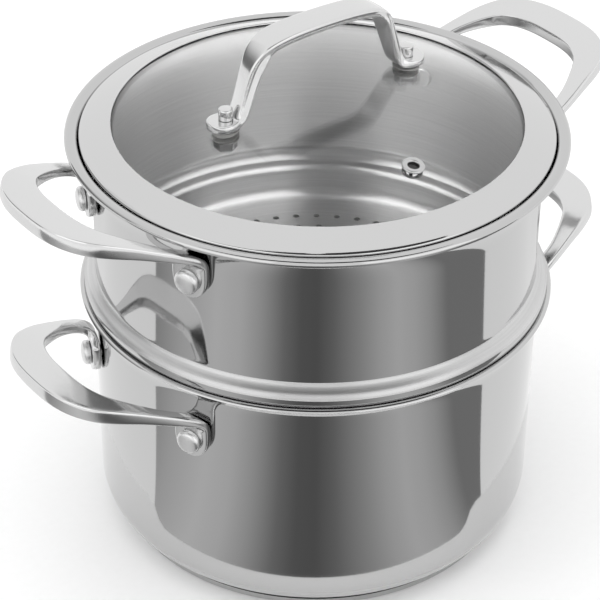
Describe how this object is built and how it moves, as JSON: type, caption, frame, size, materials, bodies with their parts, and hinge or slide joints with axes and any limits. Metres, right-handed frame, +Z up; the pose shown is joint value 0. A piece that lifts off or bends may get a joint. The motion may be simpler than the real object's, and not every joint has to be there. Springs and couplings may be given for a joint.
{
  "type": "stackable steamer pot",
  "caption": "Stainless steel stock pot with a nesting perforated steamer, riveted loop handles and a domed glass lid.",
  "frame": {"origin": "centre of the flat base cap, on the surface that the pot stands on", "axes": "+X along the side handles to the right, +Y to the rear, away from the vent, +Z up the pot's axis"},
  "size_m": [0.301, 0.221, 0.2514],
  "materials": {
    "polished_steel": "mirror polished stainless steel",
    "cast_steel": "polished cast stainless steel",
    "base_aluminium": "plain rolled",
    "clear_glass": "clear tempered",
    "silicone": "matt translucent grey"
  },
  "bodies": {
    "pot": {"pot_body": "polished_steel", "base_core": "base_aluminium", "base_cap": "polished_steel", "pot_handle_left": "cast_steel", "pot_handle_right": "cast_steel", "pot_rivet_left_front": "cast_steel", "pot_rivet_left_rear": "cast_steel", "pot_rivet_right_front": "cast_steel", "pot_rivet_right_rear": "cast_steel"},
    "steamer": {"steamer_body": "polished_steel", "steamer_handle_left": "cast_steel", "steamer_handle_right": "cast_steel", "steamer_rivet_left_front": "cast_steel", "steamer_rivet_left_rear": "cast_steel", "steamer_rivet_right_front": "cast_steel", "steamer_rivet_right_rear": "cast_steel"},
    "lid": {"lid_glass": "clear_glass", "lid_rim": "polished_steel", "lid_handle": "cast_steel", "vent_eyelet": "polished_steel", "lid_stud_left": "cast_steel", "lid_stud_right": "cast_steel", "lid_seal_left": "silicone", "lid_seal_right": "silicone", "lid_under_seal_left": "silicone", "lid_under_seal_right": "silicone", "lid_nut_left": "cast_steel", "lid_nut_right": "cast_steel"}
  },
  "joints": [
    {"name": "steamer_lift", "type": "slide", "parent": "pot", "child": "steamer", "axis": [0, 0, 1], "range_m": [0, 0.12]},
    {"name": "lid_lift", "type": "slide", "parent": "steamer", "child": "lid", "axis": [0, 0, 1], "range_m": [0, 0.1]}
  ]
}
